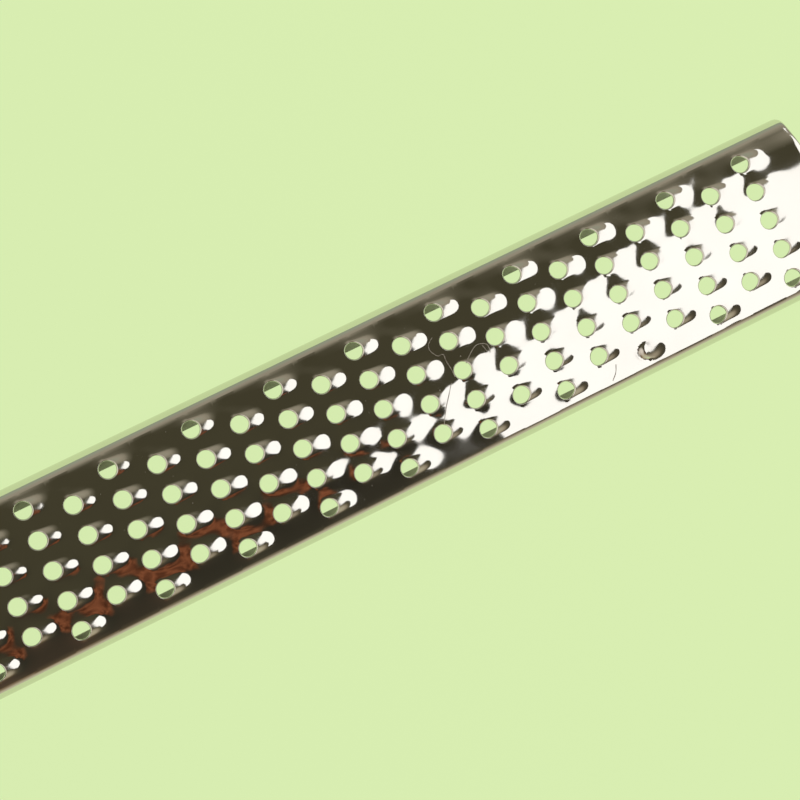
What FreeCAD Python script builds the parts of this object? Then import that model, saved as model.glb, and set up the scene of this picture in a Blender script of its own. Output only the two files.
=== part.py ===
import FreeCAD, Part
import Sketcher
import math
import os

# Vegetable grater of the hand-held rasp kind. X runs along the blade to its tip, Y across it
# and Z up, with the teeth on top. The object lies on Z = 0 and is centred on X and Y.

doc = FreeCAD.newDocument("vegetable_grater")
sizes = doc.addObject("Spreadsheet::Sheet", "sizes")

DRIVING_SIZES = [
    ("overall_length", 325.8, "butt of the handle to the tip of the blade"),
    ("handle_length", 115.9, "length of the moulded grip"),
    ("blade_width", 34, "outside width of the folded sheet"),
    ("channel_depth", 8, "height of the folded section"),
    ("sheet_gauge", 0.5, "thickness of the sheet"),
    ("side_bend", 3.6, "outside radius of the fold from the face to the side"),
    ("lip_bend", 2.8, "outside radius of the fold from the side to the return lip"),
    ("lip_reach", 4.3, "return lip, measured in from the outside of the blade"),
    ("tip_radius", 138, "arc of the tip's end"),
    ("tip_corner", 1.2, "rounding of the tip's corners"),
    ("tip_margin", 13.1, "last column of holes to the tip"),
    ("column_gap", 16.8, "from one full column of teeth to the next"),
    ("row_gap", 6, "from one tooth to the next in a column"),
    ("full_columns", 12, "columns with a tooth on the middle line"),
    ("full_rows", 5, "teeth in such a column"),
    ("half_rows", 4, "teeth in a column that stands between two of them"),
    ("hole_size", 3.2, "diameter of a hole"),
    ("hole_sides", 12, "flats round a hole"),
    ("tooth_rise", 1.15, "height of a dome's ridge over the middle of its hole"),
    ("tooth_reach", 4.9, "middle of the hole to the far end of the dome"),
    ("tooth_roll", 1.8, "radius of a dome's cross-section"),
    ("tooth_sides", 20, "flats round that section, were it a full turn"),
    ("scoop_roll", 1.35, "the same radius inside the dome"),
    ("scoop_sides", 12, "flats round the inside"),
    ("tang_width", 20, "strip of the sheet inside the handle"),
    ("tang_length", 46, "how far that strip goes in"),
    ("socket_depth", 8, "how far the folded section goes in"),
    ("anchor_size", 5, "holes of the tang that the handle's plastic fills"),
    ("near_anchor", 18.4, "handle's mouth to the middle of the first such hole"),
    ("far_anchor", 34.5, "mouth to the middle of the second"),
    ("mouth_width", 39, "handle where the blade enters"),
    ("mouth_height", 13, "handle's height there"),
    ("palm_height", 18, "handle's height in the palm"),
    ("nose_length", 36, "how far back the handle's top slopes up from the blade"),
    ("butt_radius", 14.5, "rounded end in plan"),
    ("grip_round", 6, "rounding of the handle's upper edges"),
    ("base_round", 2.5, "rounding of its lower edges"),
    ("hang_size", 8, "hole to hang it by"),
    ("hang_inset", 12.9, "butt to the middle of that hole"),
]

DERIVED_SIZES = [
    ("tip_x", "=overall_length / 2", "end of the blade"),
    ("butt_x", "=-overall_length / 2", "end of the handle"),
    ("mouth_x", "=butt_x + handle_length", "front face of the handle"),
    ("full_column_x", "=tip_x - tip_margin", "full column nearest the tip"),
    ("half_column_x", "=full_column_x - column_gap / 2", "half column nearest the tip"),
    ("full_row_y", "=row_gap * (full_rows - 1) / 2", "outermost row of a full column"),
    ("half_row_y", "=row_gap * (half_rows - 1) / 2", "outermost row of a half column"),
    ("tooth_slope", "=atan(tooth_rise / tooth_reach) / 1 deg", "fall of a dome's ridge"),
]

RUN_OUT = 3.0  # how far a cutting tool runs past what it cuts

START, END, CENTRE = 1, 2, 3
ROOT_POINT = (-1, 1)
ALONG_H, ALONG_V = -1, -2


def fill_sheet():
    """Writes the driving sizes and those worked out from them."""
    rows = DRIVING_SIZES + DERIVED_SIZES
    for number, (alias, value, meaning) in enumerate(rows, start=1):
        sizes.set(f"A{number}", meaning)
        sizes.set(f"B{number}", str(value))
        sizes.setAlias(f"B{number}", alias)
    doc.recompute()


def size(alias):
    """A size of the sheet as a plain number."""
    value = sizes.get(alias)
    return float(getattr(value, "Value", value))


def make_body(name):
    body = doc.addObject("PartDesign::Body", name)
    body.Label = name
    return body


def origin_part(body, role):
    return next(o for o in body.Origin.OriginFeatures if o.Role == role)


def make_sketch(body, name, plane):
    sketch = body.newObject("Sketcher::SketchObject", name)
    sketch.AttachmentSupport = (origin_part(body, plane), [""])
    sketch.MapMode = "FlatFace"
    return sketch


def line(sketch, start, end, guide=False):
    a = FreeCAD.Vector(start[0], start[1], 0)
    b = FreeCAD.Vector(end[0], end[1], 0)
    return sketch.addGeometry(Part.LineSegment(a, b), guide)


def circle(sketch, centre, radius):
    middle = FreeCAD.Vector(centre[0], centre[1], 0)
    return sketch.addGeometry(Part.Circle(middle, FreeCAD.Vector(0, 0, 1), radius))


def arc(sketch, centre, radius, start_deg, end_deg):
    """An arc that runs counter-clockwise from one direction to the other."""
    middle = FreeCAD.Vector(centre[0], centre[1], 0)
    ring = Part.Circle(middle, FreeCAD.Vector(0, 0, 1), radius)
    return sketch.addGeometry(Part.ArcOfCircle(ring, math.radians(start_deg), math.radians(end_deg)))


def relate(sketch, kind, *where):
    sketch.addConstraint(Sketcher.Constraint(kind, *where))


def drive(sketch, kind, name, formula, *where):
    """A dimension of a sketch that follows the sheet."""
    index = sketch.addConstraint(Sketcher.Constraint(kind, *where))
    sketch.renameConstraint(index, name)
    sketch.setExpression(f"Constraints.{name}", formula)


def direction(centre, point):
    """Direction in degrees from a centre to a point."""
    return math.degrees(math.atan2(point[1] - centre[1], point[0] - centre[0]))


def half_section(body, name, outside):
    """Half of the blade's cross-section, closed along the middle plane.

    The outside one is solid down to the return lip. The inside one is the channel, which is
    open between the lips and so runs out below them.
    """
    inset = 0.0 if outside else size("sheet_gauge")
    less_inset = "" if outside else " - sizes.sheet_gauge"
    face_z = size("channel_depth") - inset
    wall_y = size("blade_width") / 2 - inset
    side_r = size("side_bend") - inset
    lip_r = size("lip_bend") - inset
    side = (wall_y - side_r, face_z - side_r)
    lip = (wall_y - lip_r, size("lip_bend"))

    sketch = make_sketch(body, name, "YZ_Plane")
    face = line(sketch, (0, face_z), (side[0], face_z))
    side_fold = arc(sketch, side, side_r, 0, 90)
    wall = line(sketch, (wall_y, side[1]), (wall_y, lip[1]))
    lip_fold = arc(sketch, lip, lip_r, -90, 0)
    shelf_y = 0.0 if outside else size("blade_width") / 2 - size("lip_reach")
    shelf = line(sketch, (lip[0], inset), (shelf_y, inset))
    relate(sketch, "Horizontal", face)
    relate(sketch, "Tangent", face, END, side_fold, END)
    relate(sketch, "Tangent", side_fold, START, wall, START)
    relate(sketch, "Tangent", wall, END, lip_fold, END)
    relate(sketch, "Tangent", lip_fold, START, shelf, START)
    relate(sketch, "Vertical", wall)
    relate(sketch, "PointOnObject", face, START, ALONG_V)
    drive(sketch, "Radius", "side_fold", f"sizes.side_bend{less_inset}", side_fold, side_r)
    drive(sketch, "Radius", "lip_fold", f"sizes.lip_bend{less_inset}", lip_fold, lip_r)
    drive(sketch, "DistanceY", "face_height", f"sizes.channel_depth{less_inset}",
          *ROOT_POINT, face, START, face_z)
    drive(sketch, "DistanceX", "wall_place", f"sizes.blade_width / 2{less_inset}",
          *ROOT_POINT, wall, START, wall_y)
    drive(sketch, "DistanceY", "lip_height", "sizes.lip_bend", *ROOT_POINT, lip_fold, CENTRE, lip[1])

    if outside:
        middle = line(sketch, (0, 0), (0, face_z))
        relate(sketch, "PointOnObject", shelf, END, ALONG_V)
        relate(sketch, "Coincident", shelf, END, middle, START)
        relate(sketch, "Coincident", middle, END, face, START)
        return sketch

    edge = line(sketch, (shelf_y, inset), (shelf_y, -RUN_OUT))
    base = line(sketch, (shelf_y, -RUN_OUT), (0, -RUN_OUT))
    middle = line(sketch, (0, -RUN_OUT), (0, face_z))
    relate(sketch, "Coincident", shelf, END, edge, START)
    relate(sketch, "Coincident", edge, END, base, START)
    relate(sketch, "Coincident", base, END, middle, START)
    relate(sketch, "Coincident", middle, END, face, START)
    relate(sketch, "Vertical", edge)
    relate(sketch, "Horizontal", base)
    relate(sketch, "PointOnObject", base, END, ALONG_V)
    drive(sketch, "DistanceX", "lip_edge", "sizes.blade_width / 2 - sizes.lip_reach",
          *ROOT_POINT, edge, START, shelf_y)
    relate(sketch, "DistanceY", edge, END, *ROOT_POINT, RUN_OUT)
    return sketch


def run_along_blade(body, name, sketch):
    """Pads half a cross-section over the blade's whole length, tang included, and mirrors it."""
    sketch.setExpression(".AttachmentOffset.Base.z", "sizes.mouth_x - sizes.tang_length")
    pad = body.newObject("PartDesign::Pad", name)
    pad.Profile = sketch
    pad.setExpression("Length", "sizes.tip_x - sizes.mouth_x + sizes.tang_length")
    both = body.newObject("PartDesign::Mirrored", f"{name}_both_sides")
    both.Originals = [pad]
    both.MirrorPlane = (origin_part(body, "XZ_Plane"), [""])
    body.Tip = both
    doc.recompute()


def cut_outline(body, name, sketch):
    """Cuts a plan outline straight through the whole height."""
    pocket = body.newObject("PartDesign::Pocket", name)
    pocket.Profile = sketch
    pocket.Type = "ThroughAll"
    pocket.Midplane = True
    doc.recompute()


def tip_outline(body):
    """What is left outside the tip: a shallow arc with a small rounding at each corner."""
    end_r = size("tip_radius")
    corner_r = size("tip_corner")
    wall_y = size("blade_width") / 2
    end = (size("tip_x") - end_r, 0.0)
    corner_y = wall_y - corner_r
    corner_x = end[0] + math.sqrt((end_r - corner_r) ** 2 - corner_y**2)
    meet_deg = direction(end, (corner_x, corner_y))
    out_x = size("tip_x") + RUN_OUT
    out_y = wall_y + RUN_OUT

    sketch = make_sketch(body, "tip_outline", "XY_Plane")
    tip = arc(sketch, end, end_r, -meet_deg, meet_deg)
    left = arc(sketch, (corner_x, corner_y), corner_r, meet_deg, 90)
    right = arc(sketch, (corner_x, -corner_y), corner_r, -90, -meet_deg)
    left_step = line(sketch, (corner_x, wall_y), (corner_x, out_y))
    left_run = line(sketch, (corner_x, out_y), (out_x, out_y))
    front = line(sketch, (out_x, out_y), (out_x, -out_y))
    right_run = line(sketch, (out_x, -out_y), (corner_x, -out_y))
    right_step = line(sketch, (corner_x, -out_y), (corner_x, -wall_y))
    relate(sketch, "Tangent", tip, END, left, START)
    relate(sketch, "Tangent", tip, START, right, END)
    relate(sketch, "Coincident", left, END, left_step, START)
    relate(sketch, "Coincident", left_step, END, left_run, START)
    relate(sketch, "Coincident", left_run, END, front, START)
    relate(sketch, "Coincident", front, END, right_run, START)
    relate(sketch, "Coincident", right_run, END, right_step, START)
    relate(sketch, "Coincident", right_step, END, right, START)
    relate(sketch, "PointOnObject", tip, CENTRE, ALONG_H)
    relate(sketch, "Vertical", left, CENTRE, left, END)
    relate(sketch, "Vertical", right, CENTRE, right, START)
    relate(sketch, "Vertical", left_step)
    relate(sketch, "Vertical", right_step)
    relate(sketch, "Horizontal", left_run)
    relate(sketch, "Horizontal", right_run)
    relate(sketch, "Symmetric", front, START, front, END, ALONG_H)
    drive(sketch, "Radius", "end_arc", "sizes.tip_radius", tip, end_r)
    drive(sketch, "Radius", "left_corner", "sizes.tip_corner", left, corner_r)
    drive(sketch, "Radius", "right_corner", "sizes.tip_corner", right, corner_r)
    drive(sketch, "DistanceX", "end_centre", "sizes.tip_x - sizes.tip_radius",
          *ROOT_POINT, tip, CENTRE, end[0])
    drive(sketch, "DistanceY", "left_wall", "sizes.blade_width / 2",
          *ROOT_POINT, left, END, wall_y)
    drive(sketch, "DistanceY", "right_wall", "sizes.blade_width / 2",
          right, START, *ROOT_POINT, wall_y)
    drive(sketch, "DistanceX", "front_place", f"sizes.tip_x + {RUN_OUT}",
          *ROOT_POINT, front, START, out_x)
    drive(sketch, "Distance", "front_width", f"sizes.blade_width + {2 * RUN_OUT}",
          front, START, front, END, 2 * out_y)
    return sketch


def rectangle(sketch, name, low_x, high_x, low_y, high_y):
    """Four lines. Each limit is a formula for the sheet and its present value."""
    corners = [(low_x[1], low_y[1]), (high_x[1], low_y[1]), (high_x[1], high_y[1]), (low_x[1], high_y[1])]
    sides = [line(sketch, a, b) for a, b in zip(corners, corners[1:] + corners[:1])]
    for side, following in zip(sides, sides[1:] + sides[:1]):
        relate(sketch, "Coincident", side, END, following, START)
    for level, upright in zip(sides[0::2], sides[1::2]):
        relate(sketch, "Horizontal", level)
        relate(sketch, "Vertical", upright)
    drive(sketch, "DistanceX", f"{name}_low_x", low_x[0], *ROOT_POINT, sides[0], START, low_x[1])
    drive(sketch, "DistanceX", f"{name}_high_x", high_x[0], *ROOT_POINT, sides[0], END, high_x[1])
    drive(sketch, "DistanceY", f"{name}_low_y", low_y[0], *ROOT_POINT, sides[0], START, low_y[1])
    drive(sketch, "DistanceY", f"{name}_high_y", high_y[0], *ROOT_POINT, sides[2], START, high_y[1])


def tang_outline(body):
    """What is cut away on both sides of the tang."""
    sketch = make_sketch(body, "tang_outline", "XY_Plane")
    start_x = size("mouth_x") - size("tang_length") - RUN_OUT
    end_x = size("mouth_x") - size("socket_depth")
    low_x = (f"sizes.mouth_x - sizes.tang_length - {RUN_OUT}", start_x)
    high_x = ("sizes.mouth_x - sizes.socket_depth", end_x)
    near_y = size("tang_width") / 2
    far_y = size("blade_width") / 2 + RUN_OUT
    near, far = "sizes.tang_width / 2", f"sizes.blade_width / 2 + {RUN_OUT}"
    rectangle(sketch, "left", low_x, high_x, (near, near_y), (far, far_y))
    rectangle(sketch, "right", low_x, high_x, (f"-({far})", -far_y), (f"-{near}", -near_y))
    return sketch


def anchor_outline(body):
    """Two round holes on the tang's middle line."""
    sketch = make_sketch(body, "anchor_outline", "XY_Plane")
    for name in ("near_anchor", "far_anchor"):
        x = size("mouth_x") - size(name)
        ring = circle(sketch, (x, 0), size("anchor_size") / 2)
        relate(sketch, "PointOnObject", ring, CENTRE, ALONG_H)
        drive(sketch, "Radius", f"{name}_size", "sizes.anchor_size / 2",
              ring, size("anchor_size") / 2)
        drive(sketch, "DistanceX", f"{name}_place", f"sizes.mouth_x - sizes.{name}",
              *ROOT_POINT, ring, CENTRE, x)
    return sketch


def build_bar():
    """The blade's outside as a full bar, with its tip and tang."""
    body = make_body("bar")
    run_along_blade(body, "bar_pad", half_section(body, "bar_section", outside=True))
    cut_outline(body, "tip_cut", tip_outline(body))
    cut_outline(body, "tang_cut", tang_outline(body))
    cut_outline(body, "anchor_holes", anchor_outline(body))
    return body


def build_channel():
    """The space inside the folds, which leaves the sheet when it is cut from the bar."""
    body = make_body("channel")
    run_along_blade(body, "channel_pad", half_section(body, "channel_section", outside=False))
    return body


def tooth_roll(body, name, column_x, row_y, inside):
    """A many-sided roll that sinks into the face towards the tip.

    The outer roll leaves the dome standing out of the face. The inner one hollows it from below.
    """
    roll = "scoop" if inside else "tooth"
    prism = body.newObject("PartDesign::AdditivePrism", name)
    prism.AttachmentSupport = (origin_part(body, "YZ_Plane"), [""])
    prism.MapMode = "FlatFace"
    prism.Refine = False
    lean = FreeCAD.Rotation(FreeCAD.Vector(1, 0, 0), 1)
    prism.AttachmentOffset = FreeCAD.Placement(FreeCAD.Vector(0, 0, 0), lean)
    prism.setExpression("Polygon", f"sizes.{roll}_sides")
    prism.setExpression("Circumradius", f"sizes.{roll}_roll")
    prism.setExpression("Height", "sizes.tooth_reach + sizes.tooth_roll")
    prism.setExpression(".AttachmentOffset.Rotation.Angle", "sizes.tooth_slope")
    prism.setExpression(".AttachmentOffset.Base.x", f"sizes.{row_y}")
    prism.setExpression(".AttachmentOffset.Base.y",
                        "sizes.channel_depth + sizes.tooth_rise - sizes.tooth_roll")
    prism.setExpression(".AttachmentOffset.Base.z", f"sizes.{column_x}")
    return prism


def hole_punch(body, name, column_x, row_y):
    """The hole, straight through the face and short of the return lips below it."""
    prism = body.newObject("PartDesign::AdditivePrism", name)
    prism.AttachmentSupport = (origin_part(body, "XY_Plane"), [""])
    prism.MapMode = "FlatFace"
    prism.Refine = False
    prism.setExpression("Polygon", "sizes.hole_sides")
    prism.setExpression("Circumradius", "sizes.hole_size / 2")
    prism.Height = 2 * RUN_OUT
    prism.setExpression(".AttachmentOffset.Base.x", f"sizes.{column_x}")
    prism.setExpression(".AttachmentOffset.Base.y", f"sizes.{row_y}")
    prism.setExpression(".AttachmentOffset.Base.z", f"sizes.channel_depth - {RUN_OUT}")
    return prism


def repeat_over_face(body, name, features, columns, rows):
    """Copies a tooth's features along the blade and across it."""
    pattern = body.newObject("PartDesign::MultiTransform", name)
    steps = []
    for axis, gap, count in (("X_Axis", "column_gap", columns), ("Y_Axis", "row_gap", rows)):
        step = body.newObject("PartDesign::LinearPattern", f"{name}_{gap}")
        step.Direction = (origin_part(body, axis), [""])
        step.Reversed = True
        step.Mode = "Spacing"
        step.setExpression("Offset", f"sizes.{gap}")
        step.setExpression("Occurrences", count)
        steps.append(step)
    pattern.Refine = False
    pattern.Originals = features
    pattern.Transformations = steps
    body.Tip = pattern
    doc.recompute()


TOOTH_FIELDS = [
    ("full", "full_column_x", "full_row_y", "sizes.full_columns", "sizes.full_rows"),
    ("half", "half_column_x", "half_row_y", "sizes.full_columns - 1", "sizes.half_rows"),
]


def build_domes():
    """Every dome's outside, rooted in the bar."""
    body = make_body("domes")
    for field, column_x, row_y, columns, rows in TOOTH_FIELDS:
        dome = tooth_roll(body, f"{field}_dome", column_x, row_y, inside=False)
        doc.recompute()
        repeat_over_face(body, f"{field}_domes", [dome], columns, rows)
    return body


def build_punches():
    """Every dome's hollow with its round hole."""
    body = make_body("punches")
    for field, column_x, row_y, columns, rows in TOOTH_FIELDS:
        scoop = tooth_roll(body, f"{field}_scoop", column_x, row_y, inside=True)
        doc.recompute()
        hole = hole_punch(body, f"{field}_hole", column_x, row_y)
        doc.recompute()
        repeat_over_face(body, f"{field}_punches", [scoop, hole], columns, rows)
    return body


def combine(kind, name, base, tool):
    result = doc.addObject(kind, name)
    result.Label = name
    result.Refine = False
    result.Base = base
    result.Tool = tool
    doc.recompute()
    return result


def build_blade(bar, channel):
    """One folded strip of sheet: face, rolled sides, return lips, drawn teeth and tang."""
    toothed_bar = combine("Part::Fuse", "toothed_bar", bar, build_domes())
    toothed_sheet = combine("Part::Cut", "toothed_sheet", toothed_bar, channel)
    return combine("Part::Cut", "blade", toothed_sheet, build_punches())


def grip_plan(body):
    """The handle from above: straight at the blade, tapering to a rounded butt."""
    butt_r = size("butt_radius")
    centre = (size("butt_x") + butt_r, 0.0)
    corner = (size("mouth_x"), size("mouth_width") / 2)
    reach = math.hypot(corner[0] - centre[0], corner[1])
    taper_deg = direction(centre, corner) - math.degrees(math.asin(butt_r / reach))
    touch_x = centre[0] - butt_r * math.sin(math.radians(taper_deg))
    touch_y = butt_r * math.cos(math.radians(taper_deg))

    sketch = make_sketch(body, "grip_plan", "XY_Plane")
    butt = arc(sketch, centre, butt_r, 90 + taper_deg, 270 - taper_deg)
    right = line(sketch, (touch_x, -touch_y), (corner[0], -corner[1]))
    mouth = line(sketch, (corner[0], -corner[1]), corner)
    left = line(sketch, corner, (touch_x, touch_y))
    relate(sketch, "Tangent", butt, END, right, START)
    relate(sketch, "Coincident", right, END, mouth, START)
    relate(sketch, "Coincident", mouth, END, left, START)
    relate(sketch, "Tangent", left, END, butt, START)
    relate(sketch, "PointOnObject", butt, CENTRE, ALONG_H)
    relate(sketch, "Symmetric", mouth, START, mouth, END, ALONG_H)
    drive(sketch, "Radius", "butt_radius", "sizes.butt_radius", butt, butt_r)
    drive(sketch, "DistanceX", "butt_place", "-sizes.butt_x - sizes.butt_radius",
          butt, CENTRE, *ROOT_POINT, -centre[0])
    drive(sketch, "DistanceX", "mouth_place", "-sizes.mouth_x",
          mouth, START, *ROOT_POINT, -corner[0])
    drive(sketch, "Distance", "mouth_width", "sizes.mouth_width", mouth, START, mouth, END, 2 * corner[1])
    return sketch


def nose_profile(body):
    """What is cut off over the handle's nose: an arc that runs level into the palm."""
    drop = size("palm_height") - size("mouth_height")
    nose_r = (size("nose_length") ** 2 + drop**2) / (2 * drop)
    front = (size("mouth_x"), size("mouth_height"))
    rear = (size("mouth_x") - size("nose_length"), size("palm_height"))
    centre = (rear[0], rear[1] - nose_r)
    above = size("palm_height") + RUN_OUT

    sketch = make_sketch(body, "nose_profile", "XZ_Plane")
    nose = arc(sketch, centre, nose_r, direction(centre, front), 90)
    rear_edge = line(sketch, rear, (rear[0], above))
    top = line(sketch, (rear[0], above), (front[0], above))
    front_edge = line(sketch, (front[0], above), front)
    relate(sketch, "Coincident", nose, END, rear_edge, START)
    relate(sketch, "Coincident", rear_edge, END, top, START)
    relate(sketch, "Coincident", top, END, front_edge, START)
    relate(sketch, "Coincident", front_edge, END, nose, START)
    relate(sketch, "Vertical", rear_edge)
    relate(sketch, "Horizontal", top)
    relate(sketch, "Vertical", front_edge)
    relate(sketch, "Vertical", nose, CENTRE, nose, END)
    drive(sketch, "DistanceX", "rear_place", "sizes.nose_length - sizes.mouth_x",
          rear_edge, START, *ROOT_POINT, -rear[0])
    drive(sketch, "DistanceX", "front_place", "-sizes.mouth_x",
          front_edge, END, *ROOT_POINT, -front[0])
    drive(sketch, "DistanceY", "mouth_height", "sizes.mouth_height",
          *ROOT_POINT, nose, START, front[1])
    drive(sketch, "DistanceY", "palm_height", "sizes.palm_height", *ROOT_POINT, nose, END, rear[1])
    drive(sketch, "DistanceY", "over", f"sizes.palm_height + {RUN_OUT}",
          *ROOT_POINT, top, START, above)
    return sketch


def round_edges(body, name, base, radius, chosen):
    """Rounds the edges of the base for which the test holds."""
    edges = [f"Edge{n}" for n, e in enumerate(base.Shape.Edges, start=1) if chosen(e.BoundBox)]
    fillet = body.newObject("PartDesign::Fillet", name)
    fillet.Base = (base, edges)
    fillet.setExpression("Radius", f"sizes.{radius}")
    doc.recompute()
    return fillet


def build_grip():
    """The handle's outside with its hanging hole, before the blade is let into it."""
    body = make_body("grip")
    pad = body.newObject("PartDesign::Pad", "grip_pad")
    pad.Profile = grip_plan(body)
    pad.setExpression("Length", "sizes.palm_height")
    doc.recompute()

    mouth_x = size("mouth_x")
    near = 0.01
    upper = round_edges(body, "upper_rounding", pad, "grip_round",
                        lambda box: box.ZMin > size("palm_height") - near and box.XMin < mouth_x - near)
    round_edges(body, "lower_rounding", upper, "base_round",
                lambda box: box.ZMax < near and box.XMin < mouth_x - near)
    cut_outline(body, "nose_cut", nose_profile(body))

    outline = make_sketch(body, "hang_outline", "XY_Plane")
    hang_x = size("butt_x") + size("hang_inset")
    ring = circle(outline, (hang_x, 0), size("hang_size") / 2)
    relate(outline, "PointOnObject", ring, CENTRE, ALONG_H)
    drive(outline, "Radius", "hang_size", "sizes.hang_size / 2", ring, size("hang_size") / 2)
    drive(outline, "DistanceX", "hang_place", "-sizes.butt_x - sizes.hang_inset",
          ring, CENTRE, *ROOT_POINT, -hang_x)
    cut_outline(body, "hang_hole", outline)
    return body


def build_handle(bar, channel):
    """The grip, moulded round the tang and the end of the folded section."""
    plain_sheet = combine("Part::Cut", "plain_sheet", bar, channel)
    return combine("Part::Cut", "handle", build_grip(), plain_sheet)


def check_document():
    """Stops the build when anything in the document has failed."""
    for item in doc.Objects:
        if "Invalid" in item.State or "Error" in item.State:
            raise RuntimeError(f"{item.Name}: {item.getStatusString()}")


def export_pieces(pieces):
    """Writes each piece to a file that is named after it."""
    check_document()
    for piece in pieces:
        if piece.Shape.isNull() or not piece.Shape.isValid() or len(piece.Shape.Solids) != 1:
            raise RuntimeError(f"{piece.Label} is not one valid solid")
    os.makedirs("parts", exist_ok=True)
    for piece in pieces:
        piece.Shape.exportStep(f"parts/{piece.Label}.step")
        box = piece.Shape.optimalBoundingBox()
        print(f"{piece.Label}: {box.XLength:.1f} x {box.YLength:.1f} x {box.ZLength:.1f} mm,"
              f" {piece.Shape.Volume / 1000:.2f} cm3, {len(piece.Shape.Faces)} faces")


fill_sheet()
blade_bar = build_bar()
blade_channel = build_channel()
handle = build_handle(blade_bar, blade_channel)
blade = build_blade(blade_bar, blade_channel)
export_pieces([blade, handle])
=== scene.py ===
import math

import bpy
import numpy as np
from mathutils import Matrix, Vector


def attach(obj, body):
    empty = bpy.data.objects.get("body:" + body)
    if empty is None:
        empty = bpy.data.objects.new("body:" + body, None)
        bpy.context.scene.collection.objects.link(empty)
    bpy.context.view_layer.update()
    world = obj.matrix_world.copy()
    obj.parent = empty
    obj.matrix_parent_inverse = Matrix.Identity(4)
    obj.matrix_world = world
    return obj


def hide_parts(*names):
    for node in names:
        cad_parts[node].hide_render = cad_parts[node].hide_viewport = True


# Dresses the vegetable grater: a smooth blade in place of the solid's many-sided one, the grip's
# plastic, a little lint, and the room that the polished steel mirrors. Lengths are millimetres
# along the frame's axes: X along the blade to its tip, Y across it and Z up.

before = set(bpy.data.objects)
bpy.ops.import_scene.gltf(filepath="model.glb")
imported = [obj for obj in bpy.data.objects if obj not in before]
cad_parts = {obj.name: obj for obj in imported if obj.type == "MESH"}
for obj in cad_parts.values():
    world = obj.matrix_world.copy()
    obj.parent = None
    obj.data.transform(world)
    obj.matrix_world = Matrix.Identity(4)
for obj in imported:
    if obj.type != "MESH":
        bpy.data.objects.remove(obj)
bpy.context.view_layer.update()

MM = 0.001


def far_corner(name):
    """The largest X, Y and Z that a solid of the frame reaches."""
    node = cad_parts[name]
    corners = np.array([node.matrix_world @ Vector(corner) for corner in node.bound_box])
    return [round(float(value), 3) for value in corners.max(axis=0) / MM]


# The folded sheet: its section, its curved end and the tang inside the grip.
TIP_END, HALF_WIDTH = far_corner("blade")[:2]
MOUTH = far_corner("handle")[0]
SHEET = 0.5
FACE_TOP = 8.0
ARCH_RADIUS = 48.0
SIDE_BEND = 3.6
LIP_BEND = 2.3
LIP_EDGES = {1: 12.1, -1: 12.95}
TIP_RADIUS = 138.0
TIP_CENTRE = round(TIP_END - TIP_RADIUS, 3)
END_ROLL = 0.42
CORNER_RADIUS = 1.2
SOCKET_DEPTH = 8.0
TANG_LENGTH = 46.0
TANG_HALF = 10.0
TANG_TOP = FACE_TOP - 0.05
TANG_LAP = 0.5

# The pattern of holes and teeth, in columns that stand half a row apart.
HOLE = 1.6
COLUMN = 8.4
ROW = 6.0
TIP_MARGIN = 13.1
LAST_COLUMN = round(TIP_END - TIP_MARGIN, 3)
FULL_COLUMNS = 12

# The mesh: a cell round each hole, and the belt line where the face meets the side bends.
CELL_LEFT = -2.6
CELL_RIGHT = CELL_LEFT + COLUMN
CELL_SIDE = ROW / 2
STEPS_ALONG = 14
STEPS_ACROSS = 10
GRID = COLUMN / STEPS_ALONG
BELT = 15.0
CORNER_TURN = math.radians(25)
ARC_HALF = math.radians(45)
OUTLINE_END = 5.4
OUTLINE_SIDE = 1.9
OUTLINE_BEND = 2.6
OUTLINE_SPARE = 0.1
BESIDE_HOLE = 1.2
BEND_STEPS = 9
LIP_STEPS = 7
TIP_STEPS = 8
BARE_STEPS = 4
BELT_STEPS = 50
SPAN_STEPS = 7
TOP_RINGS = 6
TOP_CROWDED = 1.35
UNDER_RINGS = 2
UNDER_CROWDED = 1.2
EDGE_RINGS = 3
WELD = 0.004

# One tooth, drawn up behind its hole: height of the ridge at each whole millimetre behind the
# hole's middle, and half width of the form at every second one.
RIDGE = (0.669, 0.479, 0.462, 0.322, 0.114, 0.0)
SPREAD = (2.139, 1.915, 1.873, 1.218)
SQUARENESS = 1.968
FULLNESS = 1.985
TAIL = 0.2
SOFT_EDGE = 0.02
FRONT_FROM = -1.0
FRONT_RISE = 0.9
LATTICE_STEP = 0.05
LATTICE = np.arange(-1.0, 8.01, LATTICE_STEP)
EASE_WIDTH = 0.42
EASE_STEPS = 16
INSIDE_BACK = 0.22
INSIDE_NARROWER = 1.15

# The rolled rim from the face into the hole: its size beside and behind the hole, and its
# section as shares of that size outward and down.
DIE_ROLL = 0.19
LIP_ROLL = 0.27
LIP_TOWARD = -0.7
LIP_SHARE = 0.6
RIM_PROFILE = ((0.84, 0.07), (0.12, 0.72), (0.0, 1.0))

# The low swelling of the face that drawing each tooth leaves round it, and the dip beside it.
MOUND = 0.260
MOUND_AT = 1.795
MOUND_LONG = 3.115
MOUND_WIDE = 2.009
LEAN = -0.042
DIP = -0.053
DIP_AT = (-0.230, 4.148)
DIP_LONG = 1.549
DIP_WIDE = 1.333
RELIEF_MIDDLE = 1.5
RELIEF_LONG = 9.0
RELIEF_WIDE = 7.0

# The last stretch of the face tilts up a little.
LIFT_FROM = 151.5
LIFT_SLOPE = 0.048
LIFT_ROUND = 2.0
LIFT_FADE = 4.0

# One tooth near the tip was drawn but never pierced: it rises from a curved fold.
BLIND = (116.2, -12.0)
BLIND_FOLD_AT = -0.93
BLIND_FOLD_RADIUS = 1.8
BLIND_FOLD_LEAST = 0.2
BLIND_RISE = 1.3
BLIND_CREASE = 0.10
BLIND_CREASE_WIDTH = 0.13
BLIND_LOW_SIDE = 1.35
BLIND_RINGS = (0.08, 0.2, 0.32, 0.44, 0.56, 0.68, 0.8, 0.9)

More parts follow.
